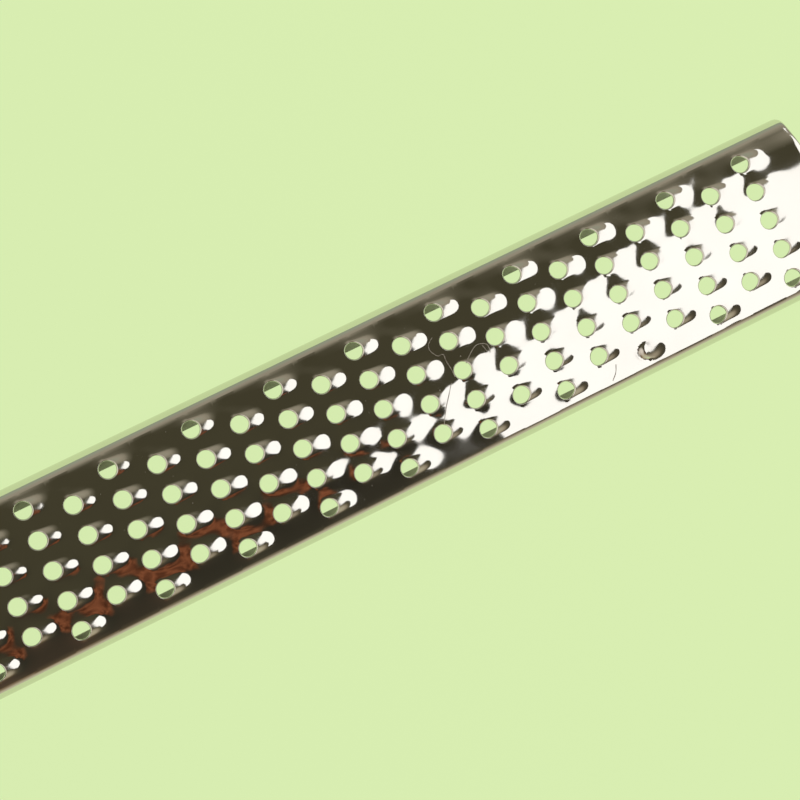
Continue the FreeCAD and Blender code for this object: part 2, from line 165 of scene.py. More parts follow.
# Where drawing and piercing dulled the polish.
DRAWN_DULL = 0.8
DRAWN_AT = 1.9
DRAWN_LONG = 1.1
DRAWN_WIDE = 1.3
RIM_DULL = 0.15
RIM_DULL_WIDTH = 0.25
DULL_LONG = 5.0
DULL_WIDE = 4.0

BEND_Y = HALF_WIDTH - SIDE_BEND
BEND_TURN = math.asin(BEND_Y / (ARCH_RADIUS - SIDE_BEND))
BEND_Z = FACE_TOP - ARCH_RADIUS + (ARCH_RADIUS - SIDE_BEND) * math.cos(BEND_TURN)
FOLD_END = MOUTH - SOCKET_DEPTH
TANG_END = MOUTH - TANG_LENGTH
FIRST_CELL = LAST_COLUMN - 2 * COLUMN * (FULL_COLUMNS - 1) + CELL_LEFT
TIP_FROM = LAST_COLUMN + CELL_RIGHT


# The form of the face, as heights over X and Y.

def teeth():
    """The middle of every hole, column by column."""
    found = []
    for k in range(FULL_COLUMNS):
        full_x = round(LAST_COLUMN - 2 * COLUMN * k, 3)
        found += [(full_x, ROW * r) for r in (-2, -1, 0, 1, 2)]
        if k < FULL_COLUMNS - 1:
            found += [(full_x - COLUMN, ROW * r) for r in (-1.5, -0.5, 0.5, 1.5)]
    return found


def smooth(value):
    """Eases from 0 to 1 as the value goes from 0 to 1."""
    value = np.clip(value, 0, 1)
    return value * value * (3 - 2 * value)


def hill(t, s, long, wide):
    """A round hill of height 1, with its two half widths."""
    return np.exp(-(t / long) ** 2 - (s / wide) ** 2)


def eased(at, values):
    """A line through the values given at some places, with its corners taken off."""
    raw = np.interp(LATTICE, at, values)
    offset = np.arange(-EASE_STEPS, EASE_STEPS + 1) * LATTICE_STEP
    weight = np.exp(-(offset / EASE_WIDTH) ** 2)
    padded = np.pad(raw, EASE_STEPS, mode="edge")
    return np.convolve(padded, weight / weight.sum(), "valid")


TEETH = teeth()
RIDGE_LINE = eased(range(len(RIDGE)), RIDGE)
SPREAD_LINE = eased(range(0, 2 * len(SPREAD), 2), SPREAD)


def plain_height(y, depth):
    """Height of the arched face and the start of its side bends, depth under the outside."""
    y = np.abs(np.asarray(y, float))
    arch = ARCH_RADIUS - depth
    bend = SIDE_BEND - depth
    on_arch = FACE_TOP - ARCH_RADIUS + np.sqrt(arch ** 2 - y ** 2)
    on_bend = BEND_Z + np.sqrt(np.clip(bend ** 2 - (y - BEND_Y) ** 2, 0, None))
    return np.where(y <= arch * math.sin(BEND_TURN), on_arch, on_bend)


def blind_rise(t, s):
    """How the tooth without a hole comes up, behind a curved fold with a crease along it."""
    left = np.clip(BLIND_FOLD_RADIUS ** 2 - s * s, BLIND_FOLD_LEAST, None)
    behind = t - BLIND_FOLD_AT - (BLIND_FOLD_RADIUS - np.sqrt(left))
    return smooth(behind / BLIND_RISE) - BLIND_CREASE * np.exp(-(behind / BLIND_CREASE_WIDTH) ** 2)


def tooth_height(t, s, blind):
    """The drawn form of one tooth, t behind the hole's middle and s to its side."""
    wide = np.interp(t, LATTICE, SPREAD_LINE)
    if blind:
        rise = blind_rise(t, s)
        wide = np.where(s < 0, BLIND_LOW_SIDE * wide, wide)
    else:
        rise = smooth((t - FRONT_FROM) / FRONT_RISE)
    ridge = np.interp(t, LATTICE, RIDGE_LINE) * rise
    q = np.abs(s) / wide
    section = np.where(q < 1, np.clip(1 - q ** SQUARENESS, 0, 1) ** FULLNESS, -TAIL * (q - 1))
    return ridge * 0.5 * (section + np.sqrt(section * section + SOFT_EDGE ** 2))


def relief(x, y, under):
    """Height that all the teeth add to the plain face at each point."""
    total = np.zeros(len(x))
    for hole in TEETH:
        t = x - hole[0]
        s = y - hole[1]
        near = (np.abs(t - RELIEF_MIDDLE) < RELIEF_LONG) & (np.abs(s) < RELIEF_WIDE)
        t = t[near]
        s = s[near] - LEAN * t
        total[near] += MOUND * hill(t - MOUND_AT, s, MOUND_LONG, MOUND_WIDE)
        total[near] += DIP * hill(t - DIP_AT[0], s - DIP_AT[1], DIP_LONG, DIP_WIDE)
        if under:
            t = t + INSIDE_BACK
            s = s * INSIDE_NARROWER
        total[near] += tooth_height(t, s, hole == BLIND)
    return total


def tip_lift(x, y):
    """What the tilt of the last stretch adds, less and less toward the side bends."""
    past = x - LIFT_FROM
    rise = LIFT_SLOPE * (past + np.sqrt(past * past + LIFT_ROUND ** 2)) / 2
    return rise * smooth((BELT - np.abs(y)) / LIFT_FADE)


def height(points, under):
    """Height of the face's outside, or of its underside, over points in plan."""
    x, y = points[:, 0], points[:, 1]
    return plain_height(y, SHEET if under else 0.0) + relief(x, y, under) + tip_lift(x, y)


def tip_at(y):
    """Where the blade ends, at a distance y from its middle."""
    y = np.abs(np.asarray(y, float))
    arc = TIP_CENTRE + np.sqrt(TIP_RADIUS ** 2 - y ** 2)
    corner_y = HALF_WIDTH - CORNER_RADIUS
    reach = TIP_RADIUS - CORNER_RADIUS
    corner_x = TIP_CENTRE + math.sqrt(reach ** 2 - corner_y ** 2)
    left = np.clip(CORNER_RADIUS ** 2 - (y - corner_y) ** 2, 0, None)
    return np.where(y > corner_y * TIP_RADIUS / reach, corner_x + np.sqrt(left), arc)


def to_tip(x, y):
    """Draws the last stretch of the blade out to its curved end."""
    end = tip_at(y) - END_ROLL
    part = (np.asarray(x, float) - TIP_FROM) / (TIP_END - TIP_FROM)
    return np.where(part > 0, TIP_FROM + part * (end - TIP_FROM), x)


# The mesh of the blade.

class Sheet:
    """Gathers points and faces of the blade, each point marked as outside (0) or inside (1)."""

    def __init__(self):
        self.points = []
        self.inner = []
        self.faces = []
        self.count = 0

    def add(self, points, inner=0.0):
        """Takes in points and returns their numbers."""
        points = np.asarray(points, float)
        self.points.append(points)
        self.inner.append(np.full(len(points), inner))
        start = self.count
        self.count += len(points)
        return np.arange(start, self.count)

    def ring_faces(self, inner, outer):
        """Quads between two closed rings of the same length, seen from the side they face."""
        for i in range(len(inner)):
            j = (i + 1) % len(inner)
            self.faces.append((inner[i], outer[i], outer[j], inner[j]))

    def grid_faces(self, rows, flip):
        """Quads between open rows of the same length."""
        for a, b in zip(rows[:-1], rows[1:]):
            for i in range(len(a) - 1):
                quad = (a[i], a[i + 1], b[i + 1], b[i])
                self.faces.append(quad[::-1] if flip else quad)

    def fan_faces(self, chain, near, far, flip):
        """Triangles from a chain of points to the two points of a coarser row beside it."""
        half = (len(chain) - 1) // 2
        fans = [(chain[k], chain[k + 1], near if k < half else far) for k in range(len(chain) - 1)]
        fans.append((chain[half], far, near))
        self.faces += [fan[::-1] if flip else fan for fan in fans]


def outline_width(x, spare):
    """Half width of a tooth's outline at x, with something to spare."""
    part = np.clip((x - OUTLINE_BEND) / (OUTLINE_END + spare - OUTLINE_BEND), 0, 1)
    return (OUTLINE_SIDE + spare) * math.sqrt(1 - part ** 2)


def cell_rings(spare):
    """Matching points round a hole: its direction, the tooth's outline, and the cell's edge."""
    front = HOLE + DIE_ROLL + spare
    back = OUTLINE_END + spare - OUTLINE_BEND
    end_x = OUTLINE_BEND + back * math.cos(ARC_HALF)
    turns = []
    outline = []
    edge = []

    def add_point(turn, on_outline, on_edge):
        turns.append(turn)
        outline.append(on_outline)
        edge.append(on_edge)

    def add_on_side(x, side):
        if x <= 0:
            turn = side * (math.pi / 2 + ARC_HALF * x / CELL_LEFT)
            point = (front * math.cos(turn), front * math.sin(turn))
        else:
            turn = side * (math.pi / 2 + (CORNER_TURN - math.pi / 2) * x / CELL_RIGHT)
            out_x = x * end_x / CELL_RIGHT
            beside = DIE_ROLL * (1 - min(1.0, x / BESIDE_HOLE))
            point = (out_x, side * (outline_width(out_x, spare) + beside))
        add_point(turn, point, (x, side * CELL_SIDE))

    for i in range(STEPS_ALONG):
        add_on_side(CELL_LEFT + GRID * i, -1)
    for i in range(STEPS_ACROSS):
        part = -1 + 2 * i / STEPS_ACROSS
        lean = ARC_HALF * part
        point = (OUTLINE_BEND + back * math.cos(lean), (OUTLINE_SIDE + spare) * math.sin(lean))
        add_point(CORNER_TURN * part, point, (CELL_RIGHT, CELL_SIDE * part))
    for i in range(STEPS_ALONG):
        add_on_side(CELL_RIGHT - GRID * i, 1)
    for i in range(STEPS_ACROSS):
        part = 1 - 2 * i / STEPS_ACROSS
        turn = math.pi - ARC_HALF * part
        add_point(turn, (front * math.cos(turn), front * math.sin(turn)), (CELL_LEFT, CELL_SIDE * part))
    return np.array(turns), np.array(outline), np.array(edge)


def between(first, last, steps, power=1.0):
    """Rings from first to last, closer together near last when power is above 1."""
    parts = [1 - (1 - j / steps) ** power for j in range(steps + 1)]
    return [first + (last - first) * part for part in parts]


def lay_rings(sheet, rings, at, under, before=None):
    """Lays rings of points on the outside or the underside, each joined to the one before it."""
    rows = []
    for ring in rings:
        flat = ring + at
        ids = sheet.add(np.column_stack([flat, height(flat, under)]), float(under))
        if before is not None:
            sheet.ring_faces(*((ids, before) if under else (before, ids)))
        rows.append(ids)
        before = ids
    return rows


def build_tooth(sheet, at):
    """The face round one hole: outside, rolled rim, hole wall and underside."""
    turns, outline, edge = cell_rings(OUTLINE_SPARE)
    unit = np.stack([np.cos(turns), np.sin(turns)], 1)
    toward_lip = smooth(0.5 + np.cos(turns - LIP_TOWARD) * LIP_SHARE)
    roll = DIE_ROLL + (LIP_ROLL - DIE_ROLL) * toward_lip
    rim = unit * (HOLE + roll)[:, None]
    tops = between(rim, outline, TOP_RINGS, TOP_CROWDED) + between(outline, edge, EDGE_RINGS)[1:]
    last = lay_rings(sheet, tops, at, False)[0]
    crest = height(rim + at, False)
    for out, down in RIM_PROFILE:
        ring = unit * (HOLE + roll * out)[:, None] + at
        ids = sheet.add(np.column_stack([ring, crest - roll * down]))
        sheet.ring_faces(ids, last)
        last = ids
    under_outline = cell_rings(0.0)[1]
    unders = between(unit * HOLE, under_outline, UNDER_RINGS, UNDER_CROWDED)
    unders += between(under_outline, edge, UNDER_RINGS)[1:]
    lay_rings(sheet, unders, at, True, last)


def build_blind(sheet, at):
    """The drawn tooth that has no hole: one unbroken face above and one below."""
    outline, edge = cell_rings(OUTLINE_SPARE)[1:]
    rings = [outline * share for share in BLIND_RINGS] + between(outline, edge, EDGE_RINGS)
    middle = np.array([at])
    for under in (False, True):
        start = sheet.add(np.column_stack([middle, height(middle, under)]))[0]
        lay_rings(sheet, rings, at, under, [start] * len(edge))


def build_patch(sheet, xs, ys, mapped=False):
    """A stretch of the face without teeth, outside and underside."""
    for under in (False, True):
        rows = []
        for y in ys:
            flat = np.array([(x, y) for x in xs], float)
            if mapped:
                flat[:, 0] = to_tip(flat[:, 0], y)
            rows.append(sheet.add(np.column_stack([flat, height(flat, under)]), float(under)))
        sheet.grid_faces(rows, under)


def side_section(side):
    """Pairs of outside and inside points from the belt line down the side to the lip's edge."""
    pairs = []
    starts = {r: math.asin((BELT - BEND_Y) / r) for r in (SIDE_BEND, SIDE_BEND - SHEET)}
    for i in range(BEND_STEPS + 1):
        pair = []
        for r, start in starts.items():
            turn = start + (math.pi / 2 - start) * i / BEND_STEPS
            pair.append((BEND_Y + r * math.sin(turn), BEND_Z + r * math.cos(turn)))
        pairs.append(pair)
    for i in range(LIP_STEPS + 1):
        turn = math.pi / 2 * i / LIP_STEPS
        pairs.append([
            (HALF_WIDTH - LIP_BEND + r * math.cos(turn), LIP_BEND - r * math.sin(turn))
            for r in (LIP_BEND, LIP_BEND - SHEET)
        ])
    edge = LIP_EDGES[side] + SHEET / 2
    pairs.append([(edge, 0.0), (edge, SHEET)])
    return pairs


def side_path(side):
    """The section's points on one side: each point, the sheet's middle beside it, and its mark."""
    pairs = side_section(side)
    cores = [((out[0] + into[0]) / 2, (out[1] + into[1]) / 2) for out, into in pairs]
    edge = (LIP_EDGES[side] + SHEET / 2, SHEET / 2)
    path = [(out, core, 0.0) for (out, _), core in zip(pairs, cores)]
    for i in (1, 2, 3):
        turn = -math.pi / 2 - math.pi / 4 * i
        point = (edge[0] + SHEET / 2 * math.cos(turn), edge[1] + SHEET / 2 * math.sin(turn))
        path.append((point, edge, 1.0))
    path += [(into, core, 1.0) for (_, into), core in zip(reversed(pairs), reversed(cores))]
    return path


def build_sides(sheet, stations, spans):
    """Both folded sides with their return lips, along stations in X.

    A span says how many of the face's steps lie between two stations, or 1 where they match.
    Returns the two sections, for the tip.
    """
    loops = []
    for side in (-1, 1):
        path = side_path(side)
        rows = []
        for point, core, inner in path:
            xs = to_tip(stations, core[0])
            rows.append(sheet.add([(x, side * point[0], point[1]) for x in xs], inner))
        for k in range(len(rows) - 1):
            a, b = rows[k], rows[k + 1]
            on_top = k == 0
            beside_face = on_top or k == len(rows) - 2
            belt, other = (a, b) if on_top else (b, a)
            z = path[0 if on_top else -1][0][1]
            for i, span in enumerate(spans):
                if beside_face and span > 1:
                    xs = np.linspace(stations[i], stations[i + 1], span + 1)[1:-1]
                    extra = sheet.add([(x, side * BELT, z) for x in xs])
                    chain = [belt[i], *extra, belt[i + 1]]
                    sheet.fan_faces(chain, other[i], other[i + 1], (side > 0) != on_top)
                else:
                    sheet.grid_faces([a[i:i + 2], b[i:i + 2]], side < 0)
        loops.append([(side * p[0], p[1], side * core[0], core[1]) for p, core, _ in path])
    return loops


def build_tip(sheet, loops, ys):
    """Rounds the cut end over, from every point of the section to the middle of the sheet."""
    tops = []
    unders = []
    for y in ys:
        flat = np.array([(float(to_tip(TIP_END, y)), y)])
        high = float(height(flat, False)[0])
        low = float(height(flat, True)[0])
        tops.append((y, high, y, (high + low) / 2))
        unders.append((y, low, y, (high + low) / 2))
    loop = tops + loops[1][1:-1] + unders[::-1] + loops[0][-2:0:-1]
    rows = []
    for turn in np.radians((0, 30, 60, 90)):
        ring = []
        for y, z, core_y, core_z in loop:
            x = float(tip_at(core_y)) - END_ROLL + END_ROLL * math.sin(turn)
            share = math.cos(turn)
            ring.append((x, core_y + (y - core_y) * share, core_z + (z - core_z) * share))
        rows.append(sheet.add(ring))
    for a, b in zip(rows[:-1], rows[1:]):
        sheet.ring_faces(a, b)


def build_tang(sheet):
    """The flat strip inside the grip."""
    ids = sheet.add([
        (x, y, z)
        for x in (TANG_END, FOLD_END + TANG_LAP)
        for y in (-TANG_HALF, TANG_HALF)
        for z in (TANG_TOP - SHEET, TANG_TOP)
    ])
    box = ((0, 1, 3, 2), (4, 6, 7, 5), (0, 4, 5, 1), (2, 3, 7, 6), (0, 2, 6, 4), (1, 5, 7, 3))
    sheet.faces += [tuple(ids[i] for i in face) for face in box]


def build_blade():
    """The whole folded sheet."""
    sheet = Sheet()
    for hole in TEETH:
        build = build_blind if hole == BLIND else build_tooth
        build(sheet, np.array(hole))
    along = np.round(np.arange(STEPS_ALONG + 1) * GRID, 6)
    for k in range(FULL_COLUMNS - 1):
        left = LAST_COLUMN - COLUMN * (2 * k + 1) + CELL_LEFT
        for low, high in ((-BELT, -2 * ROW), (2 * ROW, BELT)):
            build_patch(sheet, left + along, np.linspace(low, high, STEPS_ACROSS // 2 + 1))
    belt = np.linspace(-BELT, BELT, BELT_STEPS + 1)
    bare = np.linspace(FOLD_END, FIRST_CELL, BARE_STEPS + 1)
    tip = np.linspace(TIP_FROM, TIP_END, TIP_STEPS + 1)
    build_patch(sheet, bare, belt)
    build_patch(sheet, tip, belt, True)
    spans = round((TIP_FROM - FIRST_CELL) / (SPAN_STEPS * GRID))
    toothed = np.linspace(FIRST_CELL, TIP_FROM, spans + 1)
    stations = np.concatenate([bare, toothed[1:], tip[1:]])
    loops = build_sides(sheet, stations, [1] * BARE_STEPS + [SPAN_STEPS] * spans + [1] * TIP_STEPS)
    build_tip(sheet, loops, belt)
    build_tang(sheet)
    return sheet


def weld(sheet):
    """Joins points that lie on each other, and drops faces that shrink to nothing."""
    points = np.concatenate(sheet.points)
    keys = np.round(points / WELD).astype(np.int64)
    _, first, where = np.unique(keys, axis=0, return_index=True, return_inverse=True)
    where = where.reshape(-1)
    faces = []
    for face in sheet.faces:
        ring = []
        for i in face:
            k = int(where[i])
            if not ring or ring[-1] != k:
                ring.append(k)
        if len(ring) > 1 and ring[0] == ring[-1]:
            ring.pop()
        if len(set(ring)) == len(ring) and len(ring) > 2:
            faces.append(ring)
    return points[first], np.concatenate(sheet.inner)[first], faces


def dullness(points):
    """How dull each point is: most on the drawn form behind a hole, and a little at its rim."""
    total = np.zeros(len(points))
    for hole_x, hole_y in TEETH:
        t = points[:, 0] - hole_x
        s = points[:, 1] - hole_y
        near = (np.abs(t) < DULL_LONG) & (np.abs(s) < DULL_WIDE)
        t = t[near]
        s = s[near]
        drawn = DRAWN_DULL * hill(t - DRAWN_AT, s, DRAWN_LONG, DRAWN_WIDE)
        rim = RIM_DULL * (t * t + s * s < (HOLE + RIM_DULL_WIDTH) ** 2)
        total[near] = np.maximum(total[near], np.maximum(drawn, rim))
    return total


def true_normals(mesh, points, inner):
    """Gives the toothed face the normals of its formula, so that reflections run smoothly."""
    close = 0.003
    step = 0.01
    flat = points[:, :2]
    top = (inner < 0.5) & (np.abs(points[:, 2] - height(flat, False)) < close)
    top &= np.abs(points[:, 1]) < BELT - step
    top &= points[:, 0] < tip_at(points[:, 1]) - END_ROLL - step
    normal = np.ones((len(flat), 3))
    for axis in (0, 1):
        shift = np.eye(2)[axis] * step
        normal[:, axis] = (height(flat - shift, False) - height(flat + shift, False)) / (2 * step)
    normal /= np.linalg.norm(normal, axis=1)[:, None]
    corners = np.empty(len(mesh.loops) * 3, np.float32)
    mesh.corner_normals.foreach_get("vector", corners)
    corners = corners.reshape(-1, 3)
    owner = np.empty(len(mesh.loops), np.int32)
    mesh.loops.foreach_get("vertex_index", owner)
    corners[top[owner]] = normal[owner[top[owner]]]
    mesh.normals_split_custom_set(corners)


# Lint on the face.

FIBRES = (
    (0.065, ((80.1, 7.9), (79.4, 7.5), (78.8, 6.9), (78.6, 6.0), (78.9, 5.2), (79.5, 4.4),
             (80.4, 4.3), (80.6, 3.9), (80.5, 3.0), (80.6, 1.9), (80.7, 1.1), (80.7, -0.5))),
    (0.085, ((83.6, 0.9), (85.2, 2.1), (86.1, 2.7), (87.1, 3.1), (88.3, 2.8), (88.9, 2.3),
             (89.0, 1.5), (88.8, 0.7))),
    (0.065, ((88.0, 2.6), (88.4, 1.2))),
    (0.060, ((79.6, -1.2), (78.5, -2.6), (77.3, -4.1), (76.1, -5.9), (75.0, -7.7))),
    (0.060, ((110.4, -11.9), (109.8, -13.3), (108.7, -14.5))),
)
SPECKS = (
    (83.4, 2.5, 0.14), (77.0, -1.5, 0.15), (63.5, 2.8, 0.07), (58.0, -11.9, 0.09), (62.6, -5.4, 0.07),
    (55.7, -13.6, 0.08), (27.9, 13.6, 0.10), (12.3, 8.6, 0.09), (26.5, -0.1, 0.09),
)
FIBRE_SIDES = 5
FIBRE_STEPS = 6
FIBRE_LIFT = 1.2
FIBRE_UNEVEN = 0.2
FIBRE_WAVE = 0.9
SPECK_UNEVEN = (0.7, 1.2)
SPECK_SUNK = 0.3
DUST_SEED = 7
DUST_TRIES = 70
DUST_X = (-40, 160)
DUST_Y = (-13, 13)
DUST_RADIUS = (0.025, 0.06)
DUST_CLEAR = 2.2


def spline(course):
    """Points of a smooth line through a course of points."""
    course = np.asarray(course, float)
    ends = np.vstack([2 * course[0] - course[1], course, 2 * course[-1] - course[-2]])
    line = []
    for i in range(1, len(ends) - 2):
        a, b, c, d = ends[i - 1:i + 3]
        for k in range(FIBRE_STEPS):
            t = k / FIBRE_STEPS
            line.append(0.5 * (2 * b + (c - a) * t + (2 * a - 5 * b + 4 * c - d) * t * t
                               + (3 * b - a - 3 * c + d) * t ** 3))
    line.append(ends[-2])
    return np.array(line)


def fibre(radius, course):
    """A fibre that lies on the face along a course in X and Y, as points and faces."""
    line = spline(course)
    heights = height(line, False) + radius * FIBRE_LIFT
    steps = np.gradient(line, axis=0)
    steps /= np.linalg.norm(steps, axis=1)[:, None]
    points = []
    shell = []
    for k, ((x, y), z, (dx, dy)) in enumerate(zip(line, heights, steps)):
        thin = radius * (1 - FIBRE_UNEVEN + FIBRE_UNEVEN * math.sin(k * FIBRE_WAVE))
        for i in range(FIBRE_SIDES):
            turn = 2 * math.pi * i / FIBRE_SIDES
            out = thin * math.cos(turn)
            points.append((x - dy * out, y + dx * out, z + thin * math.sin(turn)))
        if k:
            now = FIBRE_SIDES * k
            before = now - FIBRE_SIDES
            for i in range(FIBRE_SIDES):
                j = (i + 1) % FIBRE_SIDES
                shell.append((before + i, before + j, now + j, now + i))
    return points, shell


def speck(x, y, radius, rng):
    """A grain of dust on the face: a low, uneven octahedron."""
    z = float(height(np.array([(x, y)]), False)[0])
    size = radius * rng.uniform(*SPECK_UNEVEN, 6)
    points = [
        (x + size[0], y, z), (x, y + size[1], z), (x - size[2], y, z), (x, y - size[3], z),
        (x, y, z + size[4]), (x, y, z - size[5] * SPECK_SUNK),
    ]
    shell = [(0, 1, 4), (1, 2, 4), (2, 3, 4), (3, 0, 4), (1, 0, 5), (2, 1, 5), (3, 2, 5), (0, 3, 5)]
    return points, shell


def build_lint():
    """The fibres and grains that the face shows, and some finer dust."""
    rng = np.random.default_rng(DUST_SEED)
    parts = [fibre(*one) for one in FIBRES]
    parts += [speck(*one, rng) for one in SPECKS]
    for _ in range(DUST_TRIES):
        x, y = rng.uniform(*DUST_X), rng.uniform(*DUST_Y)
        nearest = min((x - hole_x) ** 2 + (y - hole_y) ** 2 for hole_x, hole_y in TEETH)
        if nearest > DUST_CLEAR ** 2:
            parts.append(speck(x, y, rng.uniform(*DUST_RADIUS), rng))
    points = []
    shell = []
    for some, faces_of in parts:
        start = len(points)
        points += some
        shell += [tuple(start + i for i in face) for face in faces_of]
    return points, shell


# Materials.

STEEL_TINTS = ((0.72, 0.70, 0.66, 1), (0.79, 0.775, 0.74, 1))
STEEL_ROUGH = (0.03, 0.085)
DULL_ROUGHER = 0.24
INSIDE_ROUGHER = 0.25
# Painted shade: the inside of the channel has its colour darkened by a quarter, for the shadow under the
# face.
INSIDE_PAINTED_SHADE = -0.25
GRIP_TINTS = ((0.028, 0.029, 0.031, 1), (0.045, 0.046, 0.048, 1))
GRIP_ROUGH = (0.42, 0.60)
LINT_TINTS = ((0.34, 0.30, 0.26, 1), (0.72, 0.68, 0.62, 1))
LINT_ROUGH = 0.8


def add(tree, kind, inputs=None, **settings):
    """A new node of a tree, with its settings, and its inputs set or linked from a socket."""
    node = tree.nodes.new(kind)
    for key, value in settings.items():
        setattr(node, key, value)
    for key, value in (inputs or {}).items():
        if isinstance(value, bpy.types.NodeSocket):
            tree.links.new(value, node.inputs[key])
        else:
            node.inputs[key].default_value = value
    return node


def attribute(tree, name):
    """The numbers that a mesh stores at its points under a name."""
    return add(tree, "ShaderNodeAttribute", attribute_name=name).outputs["Fac"]


def place_of(tree):
    """The place of a point in its own object."""
    return add(tree, "ShaderNodeTexCoord").outputs["Object"]


def noise(tree, place, scale, detail=2.0):
    """Soft uneven patches, from 0 to 1."""
    settings = {"Vector": place, "Scale": scale, "Detail": detail}
    return add(tree, "ShaderNodeTexNoise", settings).outputs["Fac"]


def between_colors(tree, factor, first, second):
    """A colour that goes from the first to the second with a factor."""
    settings = {"Factor": factor, "A": first, "B": second}
    return add(tree, "ShaderNodeMix", settings, data_type="RGBA").outputs["Result"]


def between_shaders(tree, factor, first, second):
    """A shader that goes from the first to the second with a factor."""
    return add(tree, "ShaderNodeMixShader", {0: factor, 1: first, 2: second}).outputs[0]


def math_node(tree, operation, *values):
    """A sum worked out from values and sockets."""
    return add(tree, "ShaderNodeMath", dict(enumerate(values)), operation=operation).outputs[0]


def ranged(tree, value, low, high, start=0.0, end=1.0):
    """A value brought from the range low to high into the range start to end."""
    settings = {"Value": value, "From Min": low, "From Max": high, "To Min": start, "To Max": end}
    return add(tree, "ShaderNodeMapRange", settings).outputs["Result"]


def new_material(name):
    """A material of one Principled shader."""
    material = bpy.data.materials.new(name)
    material.use_nodes = True
    return material, material.node_tree, material.node_tree.nodes["Principled BSDF"]


def bare_material(name):
    """A material with nothing in it but its output."""
    material = bpy.data.materials.new(name)
    material.use_nodes = True
    material.node_tree.nodes.clear()
    out = add(material.node_tree, "ShaderNodeOutputMaterial")
    return material, material.node_tree, out.inputs["Surface"]


def steel_material():
    """Polished steel with faint scratches, duller where it was drawn or pierced, and rougher inside,
    where a painted shade also darkens its colour.
    """
    material, tree, shader = new_material("polished_steel_look")
    link = tree.links.new
    place = place_of(tree)
    broad = noise(tree, place, scale=90, detail=4)
    inner = attribute(tree, "inner")
    tint = between_colors(tree, broad, *STEEL_TINTS)
    # Painted shade: inside points get a darker colour, standing in for the shadow under the face; they
    # are rougher too.
    shade = math_node(tree, "MULTIPLY_ADD", inner, INSIDE_PAINTED_SHADE, 1.0)
    color = add(tree, "ShaderNodeVectorMath", {0: tint, "Scale": shade}, operation="SCALE")
    rough = ranged(tree, broad, 0.0, 1.0, *STEEL_ROUGH)
    rough = math_node(tree, "MULTIPLY_ADD", attribute(tree, "dull"), DULL_ROUGHER, rough)
    rough = math_node(tree, "MULTIPLY_ADD", inner, INSIDE_ROUGHER, rough)
    along = add(tree, "ShaderNodeMapping", {"Vector": place, "Scale": (0.15, 1, 1)})
    scratches = noise(tree, along.outputs["Vector"], scale=1500, detail=3)
    bump = add(tree, "ShaderNodeBump", {"Strength": 0.06, "Distance": 0.00004, "Height": scratches})
    shader.inputs["Metallic"].default_value = 1.0
    link(color.outputs[0], shader.inputs["Base Color"])
    link(rough, shader.inputs["Roughness"])
    link(bump.outputs["Normal"], shader.inputs["Normal"])
    return material


def grip_material():
    """Near-black moulded plastic with a fine matt grain."""
    material, tree, shader = new_material("grip_plastic_look")
    link = tree.links.new
    place = place_of(tree)
    broad = noise(tree, place, scale=60, detail=5)
    grain = add(tree, "ShaderNodeTexVoronoi", {"Vector": place, "Scale": 1800}).outputs["Distance"]
    bump = add(tree, "ShaderNodeBump", {"Strength": 0.35, "Distance": 0.00006, "Height": grain})
    tint = between_colors(tree, broad, *GRIP_TINTS)
    link(tint, shader.inputs["Base Color"])
    link(ranged(tree, broad, 0.0, 1.0, *GRIP_ROUGH), shader.inputs["Roughness"])
    link(bump.outputs["Normal"], shader.inputs["Normal"])
    return material


def lint_material():
    """Pale lint, a little uneven in colour."""
    material, tree, shader = new_material("lint_look")
    uneven = noise(tree, place_of(tree), scale=900)
    tint = between_colors(tree, uneven, *LINT_TINTS)
    tree.links.new(tint, shader.inputs["Base Color"])
    shader.inputs["Roughness"].default_value = LINT_ROUGH
    return material


# The pieces.

def put_values(mesh, name, values):
    """Stores one number at each point of a mesh, for its material."""
    values_at = mesh.attributes.new(name, "FLOAT", "POINT")
    values_at.data.foreach_set("value", np.asarray(values, np.float32))


def make_mesh(name, points, faces, smooth_angle):
    """An object from points in millimetres, smooth but for its sharper edges."""
    mesh = bpy.data.meshes.new(name)
    mesh.from_pydata([tuple(p) for p in np.asarray(points) * MM], [], faces)
    mesh.validate()
    mesh.shade_smooth()
    mesh.set_sharp_from_angle(angle=math.radians(smooth_angle))
    item = bpy.data.objects.new(name, mesh)
    bpy.context.scene.collection.objects.link(item)
    return item


points, inner, faces = weld(build_blade())
blade = make_mesh("blade_sheet", points, faces, smooth_angle=50)
put_values(blade.data, "inner", inner)
put_values(blade.data, "dull", dullness(points))
true_normals(blade.data, points, inner)
blade.data.materials.append(steel_material())
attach(blade, "root")
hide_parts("blade")

lint_points, lint_faces = build_lint()
lint = make_mesh("lint", lint_points, lint_faces, smooth_angle=60)
lint.data.materials.append(lint_material())
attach(lint, "root")

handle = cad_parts["handle"]
handle.data.materials.clear()
handle.data.materials.append(grip_material())


# The floor, the cards that the steel mirrors, the room, and the camera.

FLOOR_COLOR = (0.672, 0.831, 0.434, 1)
FLOOR_GLOW = 1.12
FLOOR_GLOW_SHARE = 0.86
FLOOR_HALF = 3000.0
FLOOR_Z = -0.05

# Cards lie flat at this height, with corners across and up the picture.
CARD_HEIGHT = 608.0
ACROSS_PICTURE = np.array((0.898, -0.439))
UP_PICTURE = np.array((0.439, 0.898))
SOFTBOX = ((246, -56), (850, -830), (850, 900), (246, 900))
COPPER_PAN = ((122, -105), (135, -350), (282, -350), (262, -80))

# A soft card is lit in patches, between two shares of its strength.
CARD_PATCHES = 22
CARD_CONTRAST = (0.35, 0.65)
CARD_UNEVEN = (0.4, 1.5)

